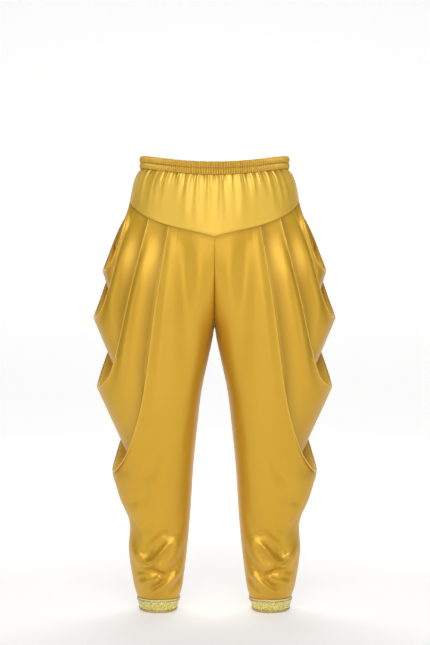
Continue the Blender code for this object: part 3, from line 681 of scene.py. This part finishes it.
def pocketProfile(gapWide, underWide, depth):
    # The way round a pocket from the cloth under the rim to the rim's face: how far each point reaches down
    # from the rim, how far it is set in, and how much of it belongs to the open mouth
    profile = [(depth * s, underWide, 1.0 - s) for s in np.linspace(0.0, 1.0, leg["wallColumns"] + 1)]
    radius, centre = (underWide - gapWide) / 2, (underWide + gapWide) / 2
    for a in np.linspace(0.0, np.pi, leg["turnColumns"] + 1)[1:]:
        profile.append((depth + radius * np.sin(a), centre + radius * np.cos(a), 0.0))
    for s in np.linspace(0.0, 1.0, leg["wallColumns"] + 1)[1:]:
        profile.append((mix(depth, gapWide / 2, s), gapWide, 0.0))
    for a in np.linspace(0.0, np.pi, leg["rollColumns"] + 1)[1:]:
        bead = leg["beadDepth"] * np.exp(-(((a - 0.80 * np.pi) / 0.35) ** 2))
        profile.append((gapWide / 2 * (1 - np.sin(a)), gapWide / 2 * (1 + np.cos(a)) - bead, 0.0))
    return profile


def makeLegSurface():
    arms = [rimArms(cowl) for cowl in cowls]
    frontShares, backShares, levels = rowsDown(arms[0])
    tipRow = len(levels) - 1
    rims = [np.vstack([along(front, frontShares), along(back, backShares)[-2::-1]]) for front, back in arms]
    tipShare = np.concatenate([frontShares, backShares[-2::-1]])
    opening = ease(0.5, 1.0, tipShare)[:, None]
    layered = leg["faceToReturn"][0] + leg["returnToUnder"][0]
    arc = np.hypot(hip["halfWidth"], hip["halfDepth"]) / np.sqrt(2) * np.pi / 2
    isFront = (np.arange(len(tipShare)) <= tipRow)[:, None]
    sides = {0: -1, -1: 1}
    gapWide = mix(*leg["faceToReturn"], opening)
    underWide = gapWide + mix(*leg["returnToUnder"], opening)

    stacks = []
    for number, (cowl, rim) in enumerate(zip(cowls, rims)):
        outward = legOutward(rim)
        tangent = unit(np.gradient(rim, axis=0))
        down = np.cross(tangent, outward)
        room = np.ones((len(rim), 1))
        if stacks:
            nextRim = np.vstack(arms[number - 1])
            room = np.linalg.norm(rim[:, None] - nextRim, axis=2).min(axis=1)[:, None]
        below = down - (mix(*leg["panelLean"], opening) + leg["pocketLean"] * layered / room) * outward
        if stacks:
            below = mix(below, unit(stacks[-1]["layers"][0] - rim), opening)
        down = unit(below - tangent * (below * tangent).sum(axis=1, keepdims=True))
        outward = np.cross(down, tangent)
        depth = np.minimum(mix(leg["pleatDepth"], cowl["depth"], ease(0.25, 1.0, tipShare)[:, None]),
                           leg["pocketRoom"] * room)
        mouth = mix(underWide * outward, cowl["mouth"] * np.array([1.0, 0.0, 0.0]), opening)
        free = []
        for reach, inset, share in pocketProfile(gapWide, underWide, depth):
            free.append(mix(rim + reach * down - inset * outward, rim - mouth + reach * down, share)
                        if share else rim + reach * down - inset * outward)
        # At the yoke the layers follow the sewn edge
        turns = {0: seamTurn(cowl["pleat"]), -1: seamTurn(cowl["backPleat"])}
        sewnDelta = {}
        for end, side in sides.items():
            profile = pocketProfile(leg["faceToReturn"][0], layered, float(depth[end, 0]))
            lean = layered / float(room[end, 0])
            base = seamPoint(turns[end], side)
            sewnDelta[end] = [seamPoint(turns[end] - reach / arc, side, inset + lean * reach) - base
                              for reach, inset, _ in profile]
        frontWay = arcLength(rim)[:, None]
        backWay = frontWay[-1] - frontWay
        freeness = ease(0.0, leg["seamReach"], np.minimum(frontWay, backWay))
        crown = ease(0.0, leg["crownReach"], np.minimum(frontWay, backWay))
        drop = np.array([0.0, 0.0, gap["legTop"]]) * (1 - freeness)
        layers = []
        for place, layer in enumerate(free):
            sewn = rim + np.where(isFront, sewnDelta[0][place], sewnDelta[-1][place])
            layers.append(mix(sewn, layer, freeness) - drop)
        stacks.append({"layers": layers, "outward": outward, "room": room, "freeness": freeness,
                       "crown": crown, "turns": turns})

    # The highest strip is sewn along the side of the yoke
    highest = stacks[-1]["turns"]
    spread = np.concatenate([mix(highest[0] + leg["sideStart"], 1.0, tipShare[:tipRow + 1]),
                             mix(1.0, highest[-1] + leg["sideStart"], 1 - tipShare[tipRow + 1:])])
    turned = layered * (1 - ease(0.0, 0.6, tipShare))
    sewn = np.where(isFront, seamPoint(spread, -1, turned), seamPoint(spread, 1, turned))
    sewn[:, 2] -= gap["legTop"]

    def seamOf(point):
        across = abs(point[0]) / hip["halfWidth"]
        return np.arctan2(across, (abs(point[1]) / hip["halfDepth"]) ** (1 / hip["squareness"])) / (np.pi / 2)

    # Each column also gets how much paler it is painted (reverse side, painted light and painted highlight)
    # and how much painted shade darkens it
    columns, insides, tones = [sewn], [np.zeros(len(sewn))], [0.0]
    turn = np.linspace(0.0, 1.0, leg["rollColumns"] + 1)[1:]
    rollTones = leg["rollTone"] * np.exp(-(((turn - 0.38) / 0.2) ** 2))
    for number in range(len(cowls) - 1, -1, -1):
        stack = stacks[number]
        start, layers, inner = columns[-1], stack["layers"], number + 1 < len(cowls)
        for share in np.linspace(0.0, 1.0, leg["stripColumns"] + 2)[1:-1]:
            chord = mix(start, layers[0], share)
            ends = {}
            for end, side in sides.items():
                turn = mix(seamOf(start[end]), seamOf(layers[0][end]), share)
                inset = mix(0.0 if inner else turned[0], layered, share)
                ends[end] = seamPoint(turn, side, inset) - [0, 0, gap["legTop"]] - chord[end]
            bulge = 0.0
            if inner:
                above = stacks[number + 1]
                fade = 1 - ease(0.6, 1.0, tipShare)[:, None]
                roundness = 4.4 * share**0.7 * (1 - share) ** 1.4
                crowned = leg["stripCrown"] * stack["crown"] * above["room"] * fade
                bulge = crowned * above["outward"] * roundness
            columns.append(chord + mix(np.where(isFront, ends[0], ends[-1]), bulge, stack["freeness"]))
            # The strip is painted paler towards the open mouth (painted light), and darker with painted shade
            # beside the pleat it runs under and at the mouth
            insides.append(leg["openStripLight"] * opening[:, 0] * ease(0.35, 0.9, share))
            besidePleat = leg["stripTone"] * np.exp(-(((1 - share) / 0.30) ** 2))
            tones.append(besidePleat + leg["openTone"] * opening[:, 0])
        columns.extend(layers)
        # Painted highlight on each pleat's rolled edge; the pocket cloth is painted paler towards the mouth
        # (reverse side and painted light); painted shade on the hidden layers and on the roll's underside
        rolled = len(layers) - np.arange(len(layers)) - 1
        rimHighlights = [leg["paintedRimHighlight"] if place in (1, 2) else 0.0 for place in rolled]
        insides.extend(np.maximum(opening[:, 0] * min(1.0, place / leg["rollColumns"]), shine)
                       for place, shine in zip(rolled, rimHighlights))
        tones.extend([leg["hiddenTone"]] * (len(layers) - len(rollTones)) + list(rollTones))

    # The front and back panels, then whole rings below the lowest tip
    face = columns[-1]
    halves = {-1: [], 1: []}
    for side, end in ((-1, 0), (1, -1)):
        turns = np.linspace(0.0, stacks[0]["turns"][end], leg["panelColumns"] + 1)
        top = seamPoint(turns, side) - np.array([0.0, 0.0, gap["legTop"]])
        top[0, 0] = gap["centre"]
        places = range(len(levels)) if side < 0 else range(len(face) - 1, len(face) - 1 - len(levels), -1)
        for row, place in enumerate(places):
            section = halfSection(face[place], levels[row], side)
            if row == 0:
                offset = top - section
            away = abs(levels[0] - levels[row])
            halves[side].append(section + offset * (1 - float(ease(0.0, 0.07, away))))
        halves[side] = np.array(halves[side])
    fall = np.linspace(0.0, 1.0, leg["ringsToCuff"] + 1)[1:]
    last = leg["cuffTop"] + gap["cuffTop"]
    innerLevels = np.concatenate([mix(levels[-1], last, fall), np.linspace(last, leg["hem"], 9)[1:]])
    outerLevels = np.concatenate([mix(face[tipRow][2], last, fall), np.linspace(last, leg["hem"], 9)[1:]])
    rings = []
    for level, outerLevel in zip(innerLevels, outerLevels):
        start = ease(0.0, 0.03, face[tipRow][2] - outerLevel)
        outer = (mix(face[tipRow][0], float(legSize("outer", outerLevel)), start), 0.0, outerLevel)
        rings.append(np.vstack([halfSection(outer, level, -1), halfSection(outer, level, 1)[-2:0:-1]]))
    rings = np.array(rings)
    # The folds' ends at the crotch and at the lowest tip are eased into the cloth around them
    width = leg["panelColumns"] + 1
    for side in (-1, 1):
        turnedBack = np.concatenate([rings[:, :1], rings[:, :width - 2:-1]], axis=1)
        lower = rings[:, :width] if side < 0 else turnedBack
        whole = np.vstack([halves[side], lower])
        for middle, reach, rounds in ((leg["rowsToCrotch"], 12, 30), (tipRow, 26, 60)):
            rows = np.arange(max(middle - reach, 1), middle + reach)
            weight = (0.5 * np.sin(np.pi * (rows - rows[0] + 0.5) / len(rows)) ** 0.7)[:, None, None]
            for _ in range(rounds):
                goal = (whole[rows - 1] + whole[rows + 1]) / 2
                whole[rows, 1:-1] += (weight * (goal - whole[rows]))[:, 1:-1]
        halves[side] = whole[:len(levels)]
        eased = whole[len(levels):, 1:-1]
        if side < 0:
            rings[:, 1:width - 1] = eased
        else:
            rings[:, :width - 1:-1] = eased
    return columns, insides, tones, halves, rings, levels


def panelTone(section, above):
    # Painted shade: darker along the fold lines, the centre seam and the seam down the leg's inner side
    tone = leg["foldTone"] * foldHeight(section[:, 0], section[:, 2])[1]
    way = arcLength(section)
    if above:
        return np.maximum(tone, leg["centreTone"] * np.exp(-((way / 0.0010) ** 2)))
    return np.maximum(tone, leg["inseamTone"] * np.exp(-(((way - 0.008) / 0.0015) ** 2)))


def legMesh():
    columns, insides, tones, halves, rings, levels = makeLegSurface()
    points, cloth, inside, crease, faces = [], [], [], [], []

    def add(rows, across, down, palerBy=0.0, tone=0.0):
        start = len(points)
        points.extend(rows)
        inside.extend(np.broadcast_to(palerBy, len(rows)))
        crease.extend(np.broadcast_to(tone, len(rows)))
        places = [np.broadcast_to(across, len(rows)), np.broadcast_to(down, len(rows))]
        cloth.extend(np.stack(places, axis=-1))
        return np.arange(start, start + len(rows))

    def join(first, second):
        for a, b, c, d in zip(first, first[1:], second[1:], second):
            corners = tuple(dict.fromkeys((a, b, c, d)))
            if len(corners) > 2:
                faces.append(corners)

    middleRow = len(columns[0]) // 3
    widths = np.concatenate([[0], np.cumsum([np.linalg.norm(b[middleRow] - a[middleRow])
                                             for a, b in zip(columns, columns[1:])])])
    # Painted shade along the yoke seam, at both ends of every column
    seamTone = np.zeros(len(columns[0]))
    seamTone[[0, -1]] = leg["seamTone"]
    grid = [add(column, width, -arcLength(column), palerBy, np.maximum(seamTone, tone))
            for column, width, palerBy, tone in zip(columns, widths, insides, tones)]
    for first, second in zip(grid, grid[1:]):
        join(second, first)
    face = grid[-1]
    middle = widths[-1] + 0.2  # where the centre seam lies on the flat cloth
    frontRows, backRows = [], []
    for row in range(len(levels)):
        shared = row >= leg["rowsToCrotch"]
        ids = []
        for side in (-1, 1):
            section = halves[side][row]
            # Painted shade along the yoke seam on the top row, and from panelTone below
            tone = np.full(len(section), leg["seamTone"]) if row == 0 else panelTone(section, not shared)
            across = middle + side * arcLength(section)[:-1]
            ids.append(add(section[:-1], across, levels[row], 0.0, tone[:-1]))
        inner = ids[0][:1] if shared else ids[1][:1]
        frontIds = np.append(ids[0], face[row])
        backIds = np.concatenate([inner, ids[1][1:], [face[len(face) - 1 - row]]])
        frontRows.append(frontIds)
        backRows.append(backIds)
    for first, second in zip(frontRows, frontRows[1:]):
        join(second, first)
    for first, second in zip(backRows, backRows[1:]):
        join(first, second)
    ring = np.concatenate([frontRows[-1], backRows[-1][-2:0:-1]])
    for row in rings:
        half = leg["panelColumns"]
        behind = np.roll(row[::-1], 1, axis=0)[:half]
        tone = np.concatenate([panelTone(row[:half], False), panelTone(behind, False)[::-1]])
        lower = add(row, middle - arcLength(row), row[0, 2], 0.0, tone)
        join(np.append(lower, lower[0]), np.append(ring, ring[0]))
        ring = lower
    return np.array(points), faces, np.array(cloth), np.array(inside), np.array(crease)


legPoints, legFaces, legCloth, legReverseAndPaintedLight, legPaintedShade = legMesh()
for label, sign in (("left", 1.0), ("right", -1.0)):
    turnedFaces = legFaces if sign > 0 else [face[::-1] for face in legFaces]
    piece = newPiece(f"leg_{label}_satin", legPoints * [sign, 1, 1], turnedFaces, legCloth * [sign, 1],
                     inside=legReverseAndPaintedLight, crease=legPaintedShade)
    thicken(piece, leg["wall"])
    dress(piece, satin, f"leg_{label}")
print("legs draped")


cuff = {
    "top": -0.9080, "bottom": -0.9335, "clearance": 0.0005, "wall": 0.0012,
    "columns": 420, "rows": 30, "reliefDepth": 0.00035, "motif": 0.0115, "around": 0.25,
    "stitchLevels": {"top": -0.9122, "bottom": -0.9304},
    "stitch": {"pitch": 0.0032, "thread": 0.0013, "lift": 0.0008},
    "edgingLevels": {"top": -0.9092, "bottom": -0.9330}, "edging": 0.0021, "edgingInset": 0.0004,
}


def hemRing(level):
    outer = (float(legSize("outer", level)), 0.0, level)
    return np.vstack([halfSection(outer, level, -1), halfSection(outer, level, 1)[-2:0:-1]])


def cuffRing(level, distance):
    top, low = hemRing(cuff["top"] + gap["cuffTop"]), hemRing(leg["hem"])
    ring = mix(top, low, (top[0, 2] - level) / (top[0, 2] - low[0, 2]))
    ring = along(np.vstack([ring, ring[:1]]), np.linspace(0, 1, cuff["columns"] + 1)[:-1])
    ring[:, 2] = level
    return ring + ringOutward(ring) * (cuff["clearance"] + np.asarray(distance))[..., None]


def makeCuff(label, sign):
    rows = []
    shares = np.linspace(0.0, 1.0, cuff["rows"])
    for face, order in ((1, shares), (0, shares[::-1])):
        for share in order:
            distance = face * cuff["wall"]
            if face:
                way = np.arange(cuff["columns"]) / cuff["columns"] * cuff["around"]
                x = (way / cuff["motif"]) % 1.0 - 0.5
                z = (share - 0.5) * 2.2
                turn = np.arctan2(z, x * 2)
                spiral = np.sin(7.0 * np.hypot(x * 2, z) - turn * 2)
                distance = distance + cuff["reliefDepth"] * spiral * (1 - ease(0.8, 1.0, abs(2 * share - 1)))
            rows.append(cuffRing(mix(cuff["top"], cuff["bottom"], share), distance))
    points = np.array(rows)
    faces = ringFaces(len(rows), cuff["columns"])
    flip = (points[0, :, 0].mean() > 0) == (sign > 0)
    faces = faces[:, ::-1] if flip else faces
    piece = newPiece(f"cuff_{label}_brocade", points.reshape(-1, 3) * [sign, 1, 1], faces)
    piece.data.set_sharp_from_angle(angle=np.radians(60))
    dress(piece, brocade, f"cuff_{label}")


def makeCord(name, ring, thick, material):
    # A thin round edging along a closed ring of places
    outward = ringOutward(ring)
    turns = np.linspace(0.0, 2 * np.pi, 9)[:-1]
    wound = thick / 2 * (1 + 0.12 * np.sin(np.arange(len(ring)) * 1.7))[:, None]
    rows = [ring + wound * (np.cos(a) * outward + np.sin(a) * np.array([0.0, 0.0, 1.0])) for a in turns]
    piece = newPiece(name, np.vstack(rows), ringFaces(len(rows), len(ring)))
    faceAway(piece, ring[0])
    dress(piece, material)


for label, sign in (("left", 1.0), ("right", -1.0)):
    makeCuff(label, sign)
    for place, level in cuff["stitchLevels"].items():
        sewn = cuffRing(level, cuff["wall"]) * [sign, 1, 1]
        makeStitches(f"cuff_{label}_stitches_{place}", sewn, cuff["stitch"], brownThread)
    for place, thread in (("top", paleThread), ("bottom", goldThread)):
        edge = cuffRing(cuff["edgingLevels"][place], cuff["wall"] - cuff["edgingInset"]) * [sign, 1, 1]
        makeCord(f"cuff_{label}_edging_{place}", edge, cuff["edging"], thread)
print("cuffs trimmed")


studio = {
    "cameraPlace": (0.001, -3.0, -0.334),
    "lens": 79.7,
    "floorLevel": -0.9365,
    "backdropDistance": 4.4,
    "worldStrength": 0.12,
    "wallGlow": 0.50, "floorGlow": 0.42,
    "wallTone": 0.93, "floorTone": 0.58,
    "floorEnd": 0.3, "wallStart": 2.6,    # the depths between which the floor's tone turns into the wall's
    "keyPower": 57.0,
    "frontPower": 10.0,
    "fillPower": 9.0,
    "topPower": 32.0,
}


def makeBackdrop():
    level, back, bend = studio["floorLevel"], studio["backdropDistance"], 0.9
    profile = [(-6.0, level), (back - bend, level)]
    profile += [(back - bend + bend * np.sin(a), level + bend - bend * np.cos(a))
                for a in np.linspace(0, np.pi / 2, 24)[1:]]
    profile += [(back, 5.0)]
    points = [(x, y, z) for y, z in profile for x in (-5.0, 5.0)]
    faces = [(2 * i, 2 * i + 1, 2 * i + 3, 2 * i + 2) for i in range(len(profile) - 1)]
    mesh = bpy.data.meshes.new("studio_sweep")
    mesh.from_pydata(points, [], faces)
    mesh.shade_smooth()
    sweep = bpy.data.objects.new("studio_sweep", mesh)
    bpy.context.scene.collection.objects.link(sweep)
    material = bpy.data.materials.new("white_sweep")
    material.use_nodes = True
    tree = material.node_tree
    shader = tree.nodes["Principled BSDF"]
    shader.inputs["Roughness"].default_value = 0.9
    shader.inputs["Emission Color"].default_value = (1.0, 1.0, 1.0, 1.0)
    place = addNode(tree, "ShaderNodeTexCoord")
    parts = addNode(tree, "ShaderNodeSeparateXYZ")
    tree.links.new(place.outputs["Object"], parts.inputs["Vector"])
    for socket, kind in (("Base Color", "Tone"), ("Emission Strength", "Glow")):
        rise = addNode(tree, "ShaderNodeMapRange")
        rise.inputs["From Min"].default_value = studio["floorEnd"]
        rise.inputs["From Max"].default_value = studio["wallStart"]
        rise.inputs["To Min"].default_value = studio["floor" + kind]
        rise.inputs["To Max"].default_value = studio["wall" + kind]
        tree.links.new(parts.outputs["Y"], rise.inputs["Value"])
        tree.links.new(rise.outputs["Result"], shader.inputs[socket])
    mesh.materials.append(material)


def addLight(name, place, target, size, power, colour=(1.0, 1.0, 1.0)):
    light = bpy.data.lights.new(name, "AREA")
    light.shape = "RECTANGLE"
    light.size, light.size_y = size
    light.energy = power
    light.color = colour
    lamp = bpy.data.objects.new(name, light)
    lamp.location = place
    direction = np.array(target, float) - np.array(place, float)
    lamp.rotation_euler = Vector(direction).to_track_quat("-Z", "Y").to_euler()
    bpy.context.scene.collection.objects.link(lamp)


makeBackdrop()
addLight("key", (0.0, -2.7, 1.4), (0.0, 0.0, -0.4), (2.4, 1.3), studio["keyPower"])
addLight("top", (0.0, 1.3, 1.5), (0.0, -0.1, -0.9), (1.6, 0.7), studio["topPower"])
addLight("front", (0.0, -3.3, -0.1), (0.0, 0.0, -0.5), (1.0, 1.0), studio["frontPower"])
addLight("fill_left", (-2.4, -1.7, 0.1), (0.0, 0.0, -0.5), (0.5, 2.2), studio["fillPower"])
addLight("fill_right", (2.4, -1.7, 0.1), (0.0, 0.0, -0.5), (0.5, 2.2), studio["fillPower"])

world = bpy.data.worlds.new("studio_air")
world.use_nodes = True
world.node_tree.nodes["Background"].inputs["Color"].default_value = (1.0, 1.0, 1.0, 1.0)
world.node_tree.nodes["Background"].inputs["Strength"].default_value = studio["worldStrength"]
bpy.context.scene.world = world
bpy.context.scene.view_settings.view_transform = "Standard"

camera = bpy.data.objects.new("camera", bpy.data.cameras.new("camera"))
camera.location = studio["cameraPlace"]
camera.rotation_euler = (np.pi / 2, 0.0, 0.0)
camera.data.lens = studio["lens"]
camera.data.sensor_width = 36.0
bpy.context.scene.collection.objects.link(camera)
bpy.context.scene.camera = camera
print("studio lit")
